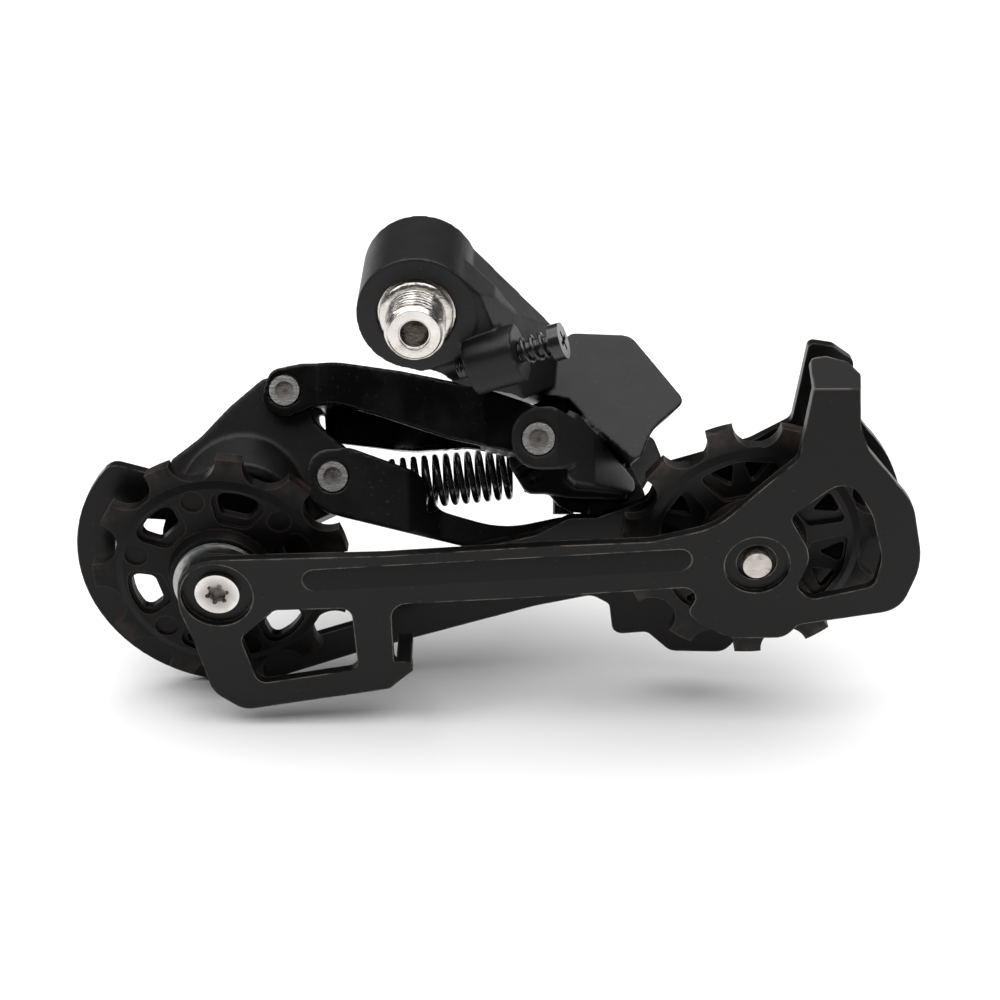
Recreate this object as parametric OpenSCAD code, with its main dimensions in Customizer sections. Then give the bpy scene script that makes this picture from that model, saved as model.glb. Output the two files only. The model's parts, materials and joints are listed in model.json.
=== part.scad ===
// Rear bicycle derailleur with a long cage, millimetres.
// Origin on the mounting bolt's axis, in the plane of the knuckle's inboard face.
// +X points rearward, +Y outboard and +Z up; the bolt's thread points along -Y.

/* [Mounting bolt] */
// Radius over the hanger thread
thread_r = 5; // [4.8:0.1:5.2]
// Length of thread beyond the shoulder
thread_len = 6.7; // [6:0.1:8]
// Radius of the plain shank that the knuckle turns on
shank_r = 6.14; // [6:0.02:6.2]
// How far the shoulder stands inboard of the knuckle
shoulder_out = 0.9; // [0.6:0.1:1.2]

/* [Knuckle at the hanger] */
// Radius of the round boss
boss_r = 10; // [9.5:0.1:10.5]
// Depth of the round boss along the bolt
boss_depth = 19.5; // [18:0.5:20]
// Radius of the housing stop bore
housing_bore_r = 2.55; // [2.4:0.05:3]

/* [Parallelogram] */
// Angle between the link pins and the bolt
slant = 32; // [32:1:32]
// Radius of the four link pins
pin_r = 2.75; // [2.5:0.05:2.8]
// Radial clearance of a running pivot
run_gap = 0.06; // [0.03:0.01:0.1]
// Radial clearance at the pivot that closes the linkage
open_gap = 0.2; // [0.15:0.05:0.3]
// Thickness of the ears at the ends of the links
ear_t = 3.1; // [2.8:0.1:3.2]

/* [Cage] */
// Thickness of both cage plates
plate_t = 1.8; // [1.6:0.1:1.8]
// Inboard face of the inner plate
inner_face_y = -5.6; // [-5.8:0.1:-5.4]
// Inboard face of the outer plate
outer_face_y = 8.6; // [8.5:0.05:8.6]

/* [Pulleys] */
// Teeth on each pulley
teeth = 11; // [11:1:11]
// Chain pitch
chain_pitch = 12.7; // [12.7:0.1:12.7]
// Thickness of the teeth
tooth_t = 2.5; // [2.2:0.1:2.7]
// How far the tooth tips stand beyond the pitch circle
tip_out = 0.8; // [0.6:0.1:0.9]

/* [Hidden] */
$fn = 64;

black = "#1c1c1e";
plastic = "#161617";
nickel = "#c9c6bf";
zinc = "#b9bfc6";
brass = "#b08d57";
rubber = "#0f0f10";

// Chain and pulleys
pitch_r = chain_pitch / 2 / sin(180 / teeth);
tip_r = pitch_r + tip_out;
guide = [-36.5, -51.5];
tension = [58.6, -45.35];
guide_phase = -113.5;
tension_phase = 140.4;
tooth_mid_y = 3.05;

// Slanted frame of the link pins: x as in the part, v up the slant, w along the pins towards the wheel
pin_ub = [20.3, -19.9];
pin_up = [-25.9, -9.3];
pin_lp = [-17, -25.1];
pin_lb = pin_ub + pin_lp - pin_up;
ear_near_w = -33;
ear_far_w = -53;
ub_near_w = -9;
ub_lug_w = -12.2;
ub_far_w = -30.3;
lb_near_w = -40.2;
lb_far_w = -51.4;
lb_blind_w = -36.6;
press_gap = 0.01;

// Cage pivot
axle = [-34, -46];
axle_r = 3;
housing_r = 12;
housing_y = 10.9;
housing_end = 28;
cavity_r = 9.6;
cavity_end = 24;
stop_angle = 250;
stop_radius = 14;

// Seats of the pulleys between the plates
seat_drop = 1.4;
seat_in_y = inner_face_y + seat_drop + plate_t;
seat_out_y = outer_face_y;
screw_r = 2.5;
bush_r = 4.4;
cap_r = 8.2;
cap_t = 1.1;

// Screw that sets the knuckle's angle
b_screw_seat = [17.2, -1.4, -6.2];
b_screw_turn = 20.5;
b_screw_lean = -8;
b_screw_r = 1.6;
b_screw_gap = 5.8;

// Limit screws
limit_high_x = 25.4;
limit_low_x = 32;
limit_w = -46;
limit_r = 2;

// Return spring between the lower link and the knuckle
spring_w = -42.5;
spring_a = [-6.4, -26.2];
spring_b = [15.8, -24];
spring_r = 4.4;
spring_wire_r = 0.6;
spring_turns = 11;
post_a = [-9, -26.9];
post_b = [19.9, -25.7];

// Cable anchor on the outboard side of the upper link
anchor = [-12.5, -9.4];
anchor_r = 2.5;

// Rounds of the outer plate about the pulleys
guard_c = [-36.2, -52.2];
guard_r = 27.8;
guard_tension_r = 27.6;

// Bend of the inner plate's flange
tab_z = -10.6;

function unit(a) = a / norm(a);

// Arc that rounds corner b of a path a, b, c with radius r
function corner(a, b, c, r, n) =
    r <= 0 ? [b] :
    let (u = unit(a - b), w = unit(c - b), half = acos(u * w) / 2)
    let (centre = b + unit(u + w) * r / sin(half), reach = r / tan(half))
    let (p = b + u * reach - centre, q = b + w * reach - centre)
    let (start = atan2(p[1], p[0]), turn = atan2(p[0] * q[1] - p[1] * q[0], p * q))
    [for (i = [0:n]) centre + r * [cos(start + turn * i / n), sin(start + turn * i / n)]];

// Closed outline through corners given as [x, y, radius]
function rounded(p, n = 5) =
    [for (i = [0:len(p) - 1])
        let (a = p[(i + len(p) - 1) % len(p)], b = p[i], c = p[(i + 1) % len(p)])
        each corner([a[0], a[1]], [b[0], b[1]], [c[0], c[1]], b[2], n)];

// Open path through points given as [x, y, radius], its ends left as they are
function open_rounded(p, n = 5) =
    let (last = len(p) - 1)
    [for (i = [0:last])
        each (i == 0 || i == last) ? [[p[i][0], p[i][1]]] :
            corner([p[i - 1][0], p[i - 1][1]], [p[i][0], p[i][1]], [p[i + 1][0], p[i + 1][1]], p[i][2], n)];

function arc(centre, r, from, to, n = 16) =
    [for (i = [0:n]) centre + r * [cos(from + (to - from) * i / n), sin(from + (to - from) * i / n)]];

// Flat shape drawn in X and Z, from y0 to y1
module across(y0, y1) {
    translate([0, y1, 0])
        rotate([90, 0, 0])
            linear_extrude(y1 - y0)
                children();
}

// Round bar along Y
module rod(c, r, y0, y1) {
    translate([c[0], y1, c[1]])
        rotate([90, 0, 0])
            cylinder(h = y1 - y0, r = r);
}

// Ring along Y
module ring(c, r_out, r_in, y0, y1) {
    difference() {
        rod(c, r_out, y0, y1);
        rod(c, r_in, y0 - 1, y1 + 1);
    }
}

// Into the slanted frame of the link pins
module slanted() {
    rotate([90 - slant, 0, 0])
        children();
}

// Flat shape drawn in x and v, from w0 to w1
module along_pins(w0, w1) {
    slanted()
        translate([0, 0, w0])
            linear_extrude(w1 - w0)
                children();
}

// Flat shape drawn in x and w, from v0 to v1
module along_v(v0, v1) {
    slanted()
        translate([0, v1, 0])
            rotate([90, 0, 0])
                linear_extrude(v1 - v0)
                    children();
}

// Round bar along the pins
module pin_rod(c, r, w0, w1) {
    slanted()
        translate([c[0], c[1], w0])
            cylinder(h = w1 - w0, r = r);
}

// Into the frame of the knuckle's screw, with +X along it and away from the boss
module b_screw_frame() {
    translate(b_screw_seat)
        rotate([0, 0, b_screw_lean])
            rotate([0, -b_screw_turn, 0])
                children();
}

// Bar along +X of the current frame
module x_rod(r, x0, x1) {
    translate([x0, 0, 0])
        rotate([0, 90, 0])
            cylinder(h = x1 - x0, r = r);
}

module mount_bolt() {
    socket_af = 5;
    socket_depth = 3.2;
    head_t = 3.6;
    end_bore_r = 2.35;
    color(nickel)
        difference() {
            union() {
                rod([0, 0], thread_r, -shoulder_out - thread_len, -shoulder_out);
                rod([0, 0], shank_r, -shoulder_out, boss_depth + 0.3);
                rod([0, 0], 8, boss_depth + 0.3, boss_depth + 0.3 + head_t);
            }
            rod([0, 0], end_bore_r, -20, 3);
            translate([0, boss_depth + 0.3 + head_t + 1, 0])
                rotate([90, 0, 0])
                    cylinder(h = socket_depth + 1, r = socket_af / 2 / cos(30), $fn = 6);
            ring([0, 0], shank_r + 1, shank_r - 0.8, 0.9, 2.1);
        }
}

module bolt_clip() {
    color(nickel)
        difference() {
            ring([0, 0], shank_r + 1.2, shank_r - 0.7, 1, 2);
            translate([-1.6, 0, -12])
                cube([3.2, 3, 12 - shank_r + 2]);
        }
}

// Outline of the upper link between its two pins
module upper_link_face() {
    polygon(rounded([
        [-28.6, -5.5, 2.5], [-23, -4.3, 6], [-16.5, -4.2, 20], [-4, -6.8, 30], [10, -10.5, 20], [24.3, -15.4, 4],
        [24.5, -24.1, 4], [5, -19.4, 20], [-8, -14.6, 12], [-16, -12, 6], [-20.5, -12.2, 5], [-26, -14.6, 3.6],
        [-30.6, -12, 3]
    ]));
}

// Outboard wall of the upper link, deeper than its inboard one
module upper_link_skirt() {
    intersection() {
        along_pins(-60, -20)
            polygon(rounded([
                [-20.5, -9, 0], [-20, -17.6, 1.5], [-10, -18.8, 8], [-2, -19.9, 4], [13, -20.2, 1], [13, -12, 0]
            ]));
        along_v(-40, 0)
            polygon([
                [-21, ear_far_w], [-5, ear_far_w], [11, ub_far_w + 0.3], [13, ub_far_w + 0.3], [13, ub_far_w + 4.5],
                [10, ub_far_w + 4.5], [-7, ear_far_w + ear_t + 1], [-21, ear_far_w + ear_t]
            ]);
    }
}

module upper_link() {
    web_t = 2.6;
    color(black)
        difference() {
            union() {
                intersection() {
                    along_pins(-60, 0)
                        upper_link_face();
                    along_v(-40, 0)
                        polygon([
                            [-40, ear_near_w], [-20, ear_near_w], [11, ub_lug_w - 0.4], [30, ub_lug_w - 0.4],
                            [30, ub_far_w + 0.3], [11, ub_far_w + 0.3], [-5, ear_far_w], [-40, ear_far_w]
                        ]);
                }
                upper_link_skirt();
            }
            // Fork that takes the outer knuckle
            along_pins(ear_far_w + ear_t, ear_near_w - ear_t)
                polygon(concat([[-40, 0]], arc(pin_up, 6.3, 62, -62), [[-40, -40]]));
            // Hollow under the top web
            intersection() {
                along_pins(-60, 0)
                    polygon([[-17.5, -4.4 - web_t], [-4, -7 - web_t], [10, -11 - web_t], [10, -40], [-17.5, -40]]);
                along_v(-60, 5)
                    polygon([
                        [-17.5, ear_near_w - ear_t + 1], [8, ub_lug_w - 4.5], [10, ub_lug_w - 4.5],
                        [10, ub_far_w + 4.5], [-7, ear_far_w + ear_t + 1], [-17.5, ear_far_w + ear_t]
                    ]);
            }
            pin_rod(pin_up, pin_r + press_gap, -60, 0);
            pin_rod(pin_ub, pin_r + run_gap, -60, 0);
            pin_rod(anchor, anchor_r + 0.1, -60, -45);
        }
}

module cable_washer() {
    color(nickel)
        difference() {
            pin_rod(anchor, 4.8, ear_far_w - 1.3, ear_far_w - 0.05);
            pin_rod(anchor, anchor_r + 0.1, -60, -45);
        }
}

module cable_bolt() {
    color(nickel)
        union() {
            pin_rod(anchor, anchor_r, ear_far_w - 2, ear_far_w + 3.6);
            slanted()
                translate([anchor[0], anchor[1], ear_far_w - 5.2])
                    cylinder(h = 3.8, r = 4.2, $fn = 6);
        }
}

// Outline of the lower link between its two pins
module lower_link_face() {
    polygon(rounded([
        [-21.6, -20.2, 4], [-14, -19.7, 5], [-1, -24.4, 4], [1.5, -31, 5], [14, -34.6, 20], [24.4, -32.4, 4],
        [29.2, -32.1, 2.5], [33.2, -32.4, 3], [33.2, -39.2, 3.2], [14, -39.6, 20], [-18, -31.8, 5], [-22, -29, 4]
    ]));
}

module lower_link() {
    color(black)
        union() {
            difference() {
                intersection() {
                    along_pins(-60, 0)
                        lower_link_face();
                    along_v(-50, 0)
                        polygon([
                            [-40, ear_near_w], [-3, ear_near_w], [2.5, -38], [24, lb_near_w - 0.4],
                            [40, lb_near_w - 0.4], [40, lb_far_w + 0.4], [10, lb_far_w + 0.4],
                            [0, ear_far_w], [-40, ear_far_w]
                        ]);
                }
                // Fork that takes the outer knuckle
                along_pins(ear_far_w + ear_t, ear_near_w - ear_t)
                    polygon(concat([[-40, 0]], arc(pin_lp, 5.4, 90, -50), [[-13, -50], [-40, -50]]));
                // Trough that the return spring lies in
                along_pins(ear_far_w + ear_t, ear_near_w - ear_t)
                    polygon([[-18, -10], [1.8, -10], [1.8, -31.4], [-10, -32.2], [-13.5, -31.6], [-18, -28]]);
                pin_rod(pin_lp, pin_r + press_gap, -60, 0);
                pin_rod(pin_lb, pin_r - 0.45 + run_gap, -60, 0);
            }
            pin_rod(post_a, 1, ear_far_w + ear_t - 0.5, ear_near_w - ear_t + 0.5);
        }
}

// Pin with a dished, turned over end at its inboard side
module link_pin(c, r, w_far, w_near) {
    lip = 0.35;
    color(zinc)
        difference() {
            pin_rod(c, r, w_far - lip, w_near + lip);
            pin_rod(c, r - 1.05, w_near + lip - 0.9, w_near + 2);
            pin_rod(c, r - 1.05, w_far - 2, w_far - lip + 0.9);
        }
}

module pin_upper_b() {
    link_pin(pin_ub, pin_r, -36, ub_near_w);
}

module pin_upper_p() {
    link_pin(pin_up, pin_r, ear_far_w, ear_near_w);
}

module pin_lower_b() {
    link_pin(pin_lb, pin_r - 0.45, lb_far_w - 3, lb_blind_w - 0.45);
}

module pin_lower_p() {
    link_pin(pin_lp, pin_r, ear_far_w, ear_near_w);
}

// Arm from the boss, its inboard side falling away towards the stop block
module b_arm() {
    difference() {
        union() {
            across(0.5, boss_depth)
                polygon(rounded([
                    [-2, 9.7, 0], [5, 8.6, 3], [8.2, 5, 6], [23.2, -11, 2], [30, -15, 1], [24, -19.5, 3],
                    [16, -15, 2], [8, -13.5, 3], [-4, -9, 0]
                ]));
            across(0.2, boss_depth / 2)
                polygon(rounded([[-2, 9.7, 0], [5.6, 8.4, 3], [13, 1.2, 2], [18, -6, 0], [14, -13, 0], [-4, -9, 0]]));
        }
        // Plane that turns rearward, a little inboard and up
        translate([10.6, 0.2, 3.2])
            rotate([0, -19.3, -21.1])
                translate([0, -40, -40])
                    cube([60, 80, 80]);
    }
}

// Lower corner block, its face turned up and rearward
module b_corner() {
    difference() {
        along_pins(-52, -38)
            polygon(rounded([
                [34, -15, 0], [36, -15, 1], [42.6, -17.2, 1.5], [44.2, -21.3, 1.5], [41, -26, 1.5], [37.5, -31.5, 1],
                [34, -31.5, 0]
            ]));
        translate([41.2, 26, -41.5])
            rotate([0, 0, 30])
                rotate([45, 0, 0])
                    translate([-40, -50, 0])
                        cube([80, 100, 60]);
    }
}

// Block that carries the housing stop, cut by its sloping top face
module b_wedge() {
    top_tilt = 37;
    difference() {
        union() {
            along_pins(-41, -8)
                polygon(rounded([
                    [20.4, -5.8, 1], [26.3, 0, 2], [36.9, -0.5, 3], [46.2, -12.7, 1.5], [40.2, -17.8, 8], [37.6, -24, 1.5],
                    [29, -16.4, 3]
                ]));
            // Web towards the arm
            along_pins(-41, -12)
                polygon([[8, -9], [20.4, -5.4], [27, -1], [37, -20], [27, -12.6], [13, -10]]);
        }
        translate([0, 20, -12.6])
            rotate([top_tilt, 0, 0])
                translate([0, -60, 0])
                    cube([80, 100, 60]);
    }
}

// Lugs that hold the two link pins
module b_lugs() {
    intersection() {
        union() {
            along_pins(ub_lug_w, ub_near_w)
                polygon(rounded([
                    [15.6, -15, 4.6], [22.6, -14.2, 3.5], [29, -17.6, 3], [33.6, -22.2, 1], [29, -23.3, 2],
                    [24.5, -25, 3], [15.8, -24.9, 4.6]
                ]));
            along_pins(-37, ub_lug_w + 0.1)
                polygon(rounded([
                    [25.4, -14.6, 0], [27.2, -15.4, 1], [34.2, -22.2, 2], [37.8, -26, 2], [38, -28.4, 1], [27, -27.4, 1],
                    [25.4, -26, 0]
                ]));
        }
        // Near side falls away past the pin
        along_v(-40, -5)
            polygon([[10, ub_near_w], [23.5, ub_near_w], [30, -15], [40, -33], [40, -40], [10, -40]]);
    }
    along_pins(-37, ub_far_w)
        polygon(rounded([
            [14.8, -14.4, 5.5], [20, -11.9, 3], [27, -12.4, 1], [36.6, -24, 1], [36.6, -29.6, 1], [26, -29.2, 1],
            [21.9, -28.3, 1.8], [18.4, -28.3, 2], [15.2, -23, 4]
        ]));
    along_pins(lb_near_w, -33)
        polygon(rounded([
            [28.6, -20, 1], [35.6, -20.8, 2], [38, -24, 4], [40.2, -28.6, 3], [39.8, -32.2, 2], [36.5, -33.6, 2],
            [33, -39.2, 3.6], [25.4, -39.2, 3.6], [25.4, -33.4, 1], [29.8, -32.4, 0.5], [29.4, -28, 1]
        ]));
    along_pins(lb_far_w - 3, lb_near_w - 0.5)
        polygon([[22.3, -14.5], [35.6, -14.5], [37.5, -20], [37.5, -29.4], [28.6, -29.4], [26.6, -29.8], [24, -28.8], [22.3, -27]]);
    along_pins(lb_far_w - 3, lb_far_w)
        polygon(rounded([
            [29.4, -28, 1], [37, -27, 1], [37, -31, 2], [33, -39.2, 3.6], [25.4, -39.2, 3.6], [25.2, -33.6, 2],
            [28.8, -32.4, 1]
        ]));
    // Post for the return spring, and the ridge beside it
    pin_rod(post_b, 1.1, -46, -36);
    along_pins(-47, -44)
        polygon([[18, -25], [22.6, -25], [22.6, -27.6], [18, -27.6]]);
    along_pins(lb_near_w, -36)
        polygon(rounded([
            [22.6, -26, 0], [22.5, -28.2, 1], [24.2, -30.2, 2], [26.6, -31.5, 2], [30.4, -31.8, 0], [31, -28, 0],
            [28, -26, 0]
        ]));
}

module b_knuckle() {
    color(black)
        difference() {
            union() {
                rod([0, 0], boss_r, 0, boss_depth);
                b_arm();
                b_wedge();
                b_corner();
                b_lugs();
                b_screw_frame()
                    rotate([90, 0, 90])
                        translate([0, 0, -8.8])
                            linear_extrude(8.8)
                                polygon(rounded([[-4.4, -4.7, 3.4], [4.6, -4.7, 3.4], [4.6, 4.7, 3.4], [-4.4, 4.7, 3.4]]));
            }
            rod([0, 0], 7.4, 0.9, boss_depth + 1);
            rod([0, 0], shank_r + 0.3, -1, 1);
            pin_rod(pin_ub, pin_r + press_gap, -60, 0);
            pin_rod(pin_lb, pin_r - 0.45 + press_gap, -60, lb_blind_w);
            // Slotted end of the spring's post
            slanted()
                translate([post_b[0], post_b[1], ub_far_w]) {
                    rotate([0, 0, 35])
                        cube([2.8, 0.6, 1.4], center = true);
                    difference() {
                        cylinder(h = 0.8, r = 2, center = true);
                        cylinder(h = 2, r = 1.65, center = true);
                    }
                }
            // Room for the outer cage plate
            translate([16, -20, -62])
                cube([34, 30.9, 17]);
            b_screw_frame()
                x_rod(b_screw_r + 0.05, -20, 1);
            for (x = [limit_high_x, limit_low_x])
                slanted()
                    translate([x, 0, limit_w])
                        rotate([90, 0, 0])
                            cylinder(h = 60, r = limit_r + 0.05);
            // Housing stop, with the inner wire's hole beyond it
            slanted()
                translate([41.5, -6.6, -31])
                    rotate([0, 0, 36.5]) {
                        x_rod(housing_bore_r, -8, 6);
                        x_rod(1, -40, 0);
                    }
        }
}

module b_bush() {
    color(brass)
        ring([0, 0], 7.38, shank_r + 0.05, 2.5, boss_depth - 1.3);
}

module b_seal() {
    color(rubber)
        ring([0, 0], 7.35, shank_r + 0.15, boss_depth - 1.1, boss_depth - 0.05);
}

// Pan head screw along +X, its head beyond x = gap
module pan_screw(r, tail, gap, head_r, head_t) {
    difference() {
        union() {
            x_rod(r, -tail, gap + 0.2);
            x_rod(head_r, gap, gap + head_t);
        }
        for (a = [0, 90])
            translate([gap + head_t - 1.1, 0, 0])
                rotate([a, 0, 0])
                    translate([0, -head_r * 0.55, -0.4])
                        cube([2, head_r * 1.1, 0.8]);
    }
}

module b_tension_screw() {
    color(black)
        b_screw_frame()
            pan_screw(b_screw_r, 10.8, b_screw_gap, 3.1, 1.9);
}

// Round wire swept along a list of points
module wire(path, r, sides = 8) {
    last = len(path) - 1;
    rings = [for (i = [0:last])
        let (d = unit(path[min(i + 1, last)] - path[max(i - 1, 0)]))
        let (helper = abs(d[0]) < 0.8 ? [1, 0, 0] : [0, 0, 1])
        let (e = unit(cross(d, helper)), f = cross(d, e))
        for (k = [0:sides - 1]) path[i] + r * (e * cos(360 * k / sides) + f * sin(360 * k / sides))];
    sides_faces = [for (i = [0:last - 1], k = [0:sides - 1])
        let (m = (k + 1) % sides)
        [i * sides + k, (i + 1) * sides + k, (i + 1) * sides + m, i * sides + m]];
    ends = [[for (k = [0:sides - 1]) k], [for (k = [sides - 1:-1:0]) last * sides + k]];
    polyhedron(points = rings, faces = concat(sides_faces, ends));
}

module b_screw_spring() {
    turns = 3;
    per_turn = 12;
    start = 0.45;
    travel = b_screw_gap - 0.9;
    path = [for (i = [0:turns * per_turn])
        let (a = 360 * i / per_turn)
        [start + travel * i / (turns * per_turn), 2.1 * cos(a), 2.1 * sin(a)]];
    color(black)
        b_screw_frame()
            wire(path, 0.32, 6);
}

// Limit screw standing along v, its tip at v = tip
module limit_screw(x, tip) {
    top = -14.3;
    color(black)
        slanted()
            translate([x, top, limit_w])
                rotate([0, 0, 90])
                    pan_screw(limit_r, top - tip, 0, 3.1, 2.2);
}

module limit_screw_high() {
    limit_screw(limit_high_x, -31.7);
}

module limit_screw_low() {
    limit_screw(limit_low_x, -30.2);
}

module return_spring() {
    per_turn = 12;
    span = spring_b - spring_a;
    along = unit(span);
    side = [-along[1], along[0]];
    steps = spring_turns * per_turn;
    coil = [for (i = [0:steps])
        let (c = spring_a + span * i / steps, a = 90 - 360 * i / per_turn)
        [c[0] + side[0] * spring_r * sin(a), c[1] + side[1] * spring_r * sin(a), spring_w + spring_r * cos(a)]];
    hook_a = [for (t = [0:30:120])
        [post_a[0] + 1.8 * cos(250 - t), post_a[1] + 1.8 * sin(250 - t), spring_w]];
    hook_b = [for (t = [0:45:225])
        [post_b[0] + 1.75 * cos(120 - t), post_b[1] + 1.75 * sin(120 - t), spring_w]];
    color(black)
        slanted()
            wire(concat(hook_a, coil, hook_b), spring_wire_r, 6);
}

module p_knuckle() {
    lug_far = ear_far_w + ear_t + 0.3;
    lug_near = ear_near_w - ear_t - 0.3;
    color(black)
        difference() {
            union() {
                rod(axle, housing_r, housing_y, housing_end);
                along_pins(lug_far, lug_near)
                    polygon(rounded([
                        [-30.6, -6.9, 3], [-36.6, -12, 10], [-42, -17.7, 6], [-47.4, -21.8, 2], [-48, -25, 3],
                        [-45, -34.5, 6], [-30, -36.5, 6], [-22.5, -34, 5], [-13.4, -29.8, 4.2], [-12.4, -21.8, 4],
                        [-21.3, -14.2, 2.5], [-20.4, -8.4, 3.2], [-24, -5, 3]
                    ]));
                // Stop against the cage's pin
                translate([axle[0] + 12.9 * cos(stop_angle + 14), 0, axle[1] + 12.9 * sin(stop_angle + 14)])
                    rod([0, 0], 2, housing_y, housing_y + 6);
            }
            rod(axle, cavity_r, housing_y - 1, cavity_end);
            rod(axle, 4.02, 0, 60);
            rod(axle, 6.2, housing_end, 60);
            pin_rod(pin_up, pin_r + run_gap, -60, 0);
            pin_rod(pin_lp, pin_r + open_gap, -60, 0);
        }
}

module p_bush() {
    color(brass)
        ring(axle, 4, axle_r + 0.05, cavity_end, housing_end - 0.1);
}

module p_seal() {
    color(rubber)
        ring(axle, 7.8, 6.6, outer_face_y + plate_t + 0.05, housing_y + 0.08);
}

module p_cap() {
    color(black)
        ring(axle, cavity_r - 0.05, axle_r + 0.15, housing_y + 0.1, housing_y + 1.4);
}

module p_spring() {
    turns = 5;
    per_turn = 16;
    wire_r = 0.95;
    y0 = housing_y + 2.6;
    y1 = cavity_end - 1.2;
    path = [for (i = [0:turns * per_turn])
        let (a = 360 * i / per_turn, t = i / (turns * per_turn))
        [axle[0] + 7.2 * cos(a), y0 + (y1 - y0) * t, axle[1] + 7.2 * sin(a)]];
    color(zinc)
        wire(path, wire_r, 8);
}

module p_axle() {
    head_y = housing_end + 0.1;
    color(nickel)
        difference() {
            union() {
                rod(axle, axle_r, outer_face_y + 0.02, head_y + 0.5);
                rod(axle, 5.6, head_y, head_y + 2.2);
            }
            translate([axle[0], head_y + 3.2, axle[1]])
                rotate([90, 0, 0])
                    cylinder(h = 2.6, r = 2.9, $fn = 6);
        }
}

function stop_at(a) = axle + stop_radius * [cos(a), sin(a)];

module cage_stop_pin() {
    color(zinc)
        rod(stop_at(stop_angle), 1.25, outer_face_y, 14.5);
}

// Slot with round ends, from a to b
function slot_path(a, b, r) =
    let (d = b - a, t = atan2(d[1], d[0]))
    concat(arc(b, r, t - 90, t + 90, 8), arc(a, r, t + 90, t + 270, 8));

// Outline of the outer plate: a round guard at the guide pulley, an arm, and a tab above the tension pulley
module outer_plate_face() {
    polygon(concat(
        arc(guard_c, guard_r, 144, 287.4, 30),
        open_rounded([
            [-13.8, -73.6, 0], [5.9, -67.4, 20], [20, -63, 20], [30.5, -60.6, 3], [33.8, -62.6, 1.5],
            [34.6, -69.4, 2], [41, -68.8, 2], [45.5, -73.2, 3], [55.5, -73.4, 3], [61, -67.2, 4], [72, -64, 6],
            [80.6, -60.4, 2], [85.3, -52.4, 0]
        ]),
        arc(tension, guard_tension_r, -12, 44, 12),
        open_rounded([
            [76, -23, 0], [75.2, -21, 1], [74.7, -12.6, 1.5], [71, -9.9, 2], [66.8, -9.2, 1], [64.9, -24.3, 2],
            [58, -28.4, 4], [50, -31.2, 5], [42.6, -33.6, 3], [40.2, -40.4, 3], [31, -44.1, 3], [26, -44.2, 3],
            [20, -47.8, 5], [-10, -55, 12],
            [-20, -53.4, 4], [-21.4, -44, 6], [-27, -37.6, 6], [-41, -37.6, 6], [-45.6, -40, 3], [-49.4, -34.6, 1.5],
            [-55.4, -32.8, 2.5], [-57, -33.9, 0]
        ])
    ));
}

// Openings between the guard and the plate's centre
module outer_plate_windows() {
    inner_c = [-35.5, -49];
    polygon(concat(arc(guard_c, 20.8, 156, 234, 12), arc(inner_c, 12.6, 230, 158, 8)));
    polygon(rounded([
        [-34.4, -65, 2], [-25, -60.6, 4], [-14, -60.4, 3], [-8, -64.2, 1.5], [-14, -67.3, 3], [-28.6, -72.3, 3],
        [-34.4, -72.6, 2]
    ]));
}

module outer_cage_plate() {
    back = outer_face_y + plate_t;
    color(black)
        difference() {
            across(outer_face_y, back)
                difference() {
                    outer_plate_face();
                    outer_plate_windows();
                }
            rod(axle, axle_r + press_gap, 0, 20);
            rod(guide, screw_r + 0.01, 0, 20);
            rod(tension, screw_r + 0.01, 0, 20);
            rod(stop_at(stop_angle), 1.26, 0, 20);
        }
}

// Outline of the inner plate: a loop below the guide pulley's screw, an arm, and a tab above the tension pulley
module inner_plate_face() {
    polygon(rounded([
        [-43.5, -44.4, 6.6], [-43.4, -54.5, 8], [-41.2, -62, 10], [-38.8, -72.4, 5], [-33.4, -76.4, 4],
        [-6.6, -71.7, 1.5], [-2.2, -67.6, 0.6], [-2.4, -65.9, 0.5], [-5.6, -66, 0.8], [-5.8, -53.4, 3], [16, -52.2, 20],
        [38, -50.6, 10], [49.8, -49.7, 2.2], [46.8, -55.2, 1.6], [50, -58.2, 4], [55, -60.7, 5], [64.4, -60.6, 3.5],
        [66.7, -57.8, 2], [84.4, -54.7, 5], [87.4, -45, 14], [84.6, -33, 10], [76, -22.6, 3], [74.2, -18, 5],
        [73.5, tab_z, 0], [65.8, tab_z, 0], [64.3, -24.4, 3], [59.5, -29, 6], [51, -37.8, 12], [40, -40.6, 8],
        [21.6, -41.4, 20], [-7, -43.4, 20]
    ]));
}

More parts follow.
